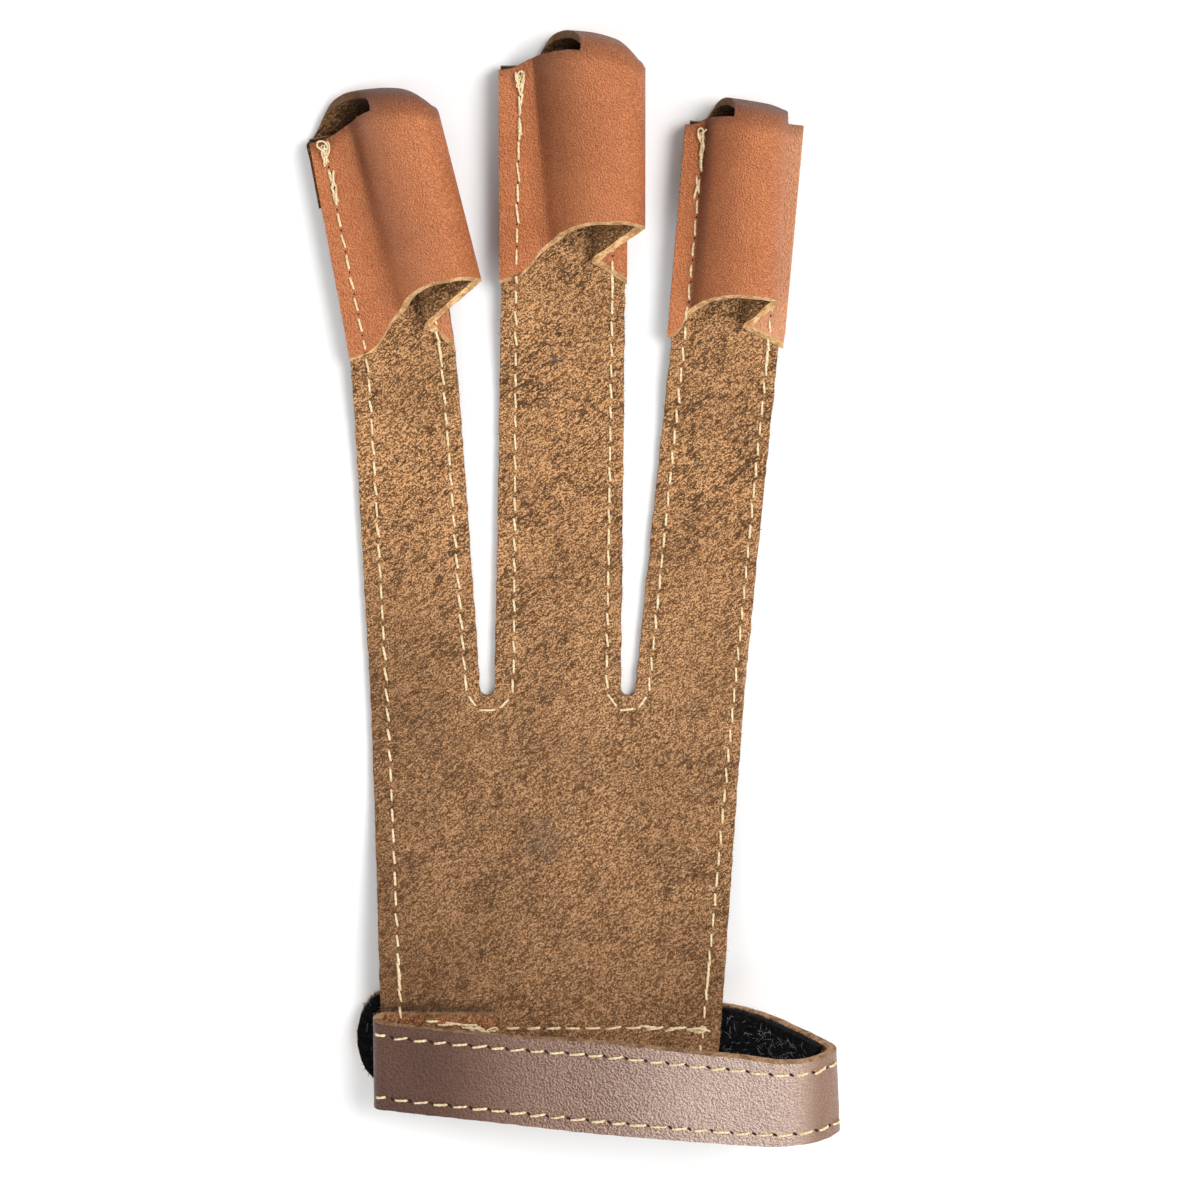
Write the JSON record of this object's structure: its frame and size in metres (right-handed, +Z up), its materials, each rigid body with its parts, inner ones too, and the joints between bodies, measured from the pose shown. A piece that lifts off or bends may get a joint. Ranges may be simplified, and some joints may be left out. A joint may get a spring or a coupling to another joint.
{
  "type": "three-finger archery glove",
  "caption": "Leather archery glove with finger stalls on a suede back panel, slots between the finger strips, and a looped wrist strap with a hook-and-loop clasp.",
  "frame": {"origin": "middle of the glove's outline in plan, on the surface that it lies on with its inner side up", "axes": "+Y from the wrist to the fingertips, +X to the right as seen from the inner side, +Z up from the surface"},
  "size_m": [0.1138, 0.2342, 0.0409],
  "materials": {
    "panel_suede": "rough mottled brown suede, flesh side up",
    "stall_leather": "smooth burnt-orange grain leather with light tan cut edges",
    "strap_leather": "taupe-brown pebbled leather with a satin sheen",
    "hook_tape": "matt black hook tape",
    "loop_tape": "matt black loop tape",
    "thread": "twisted cream sewing thread"
  },
  "bodies": {
    "root": {"back_panel": "panel_suede", "left_stall": "stall_leather", "middle_stall": "stall_leather", "right_stall": "stall_leather", "wrist_strap": "strap_leather", "hook_tape": "hook_tape", "loop_patch": "loop_tape"}
  },
  "joints": []
}
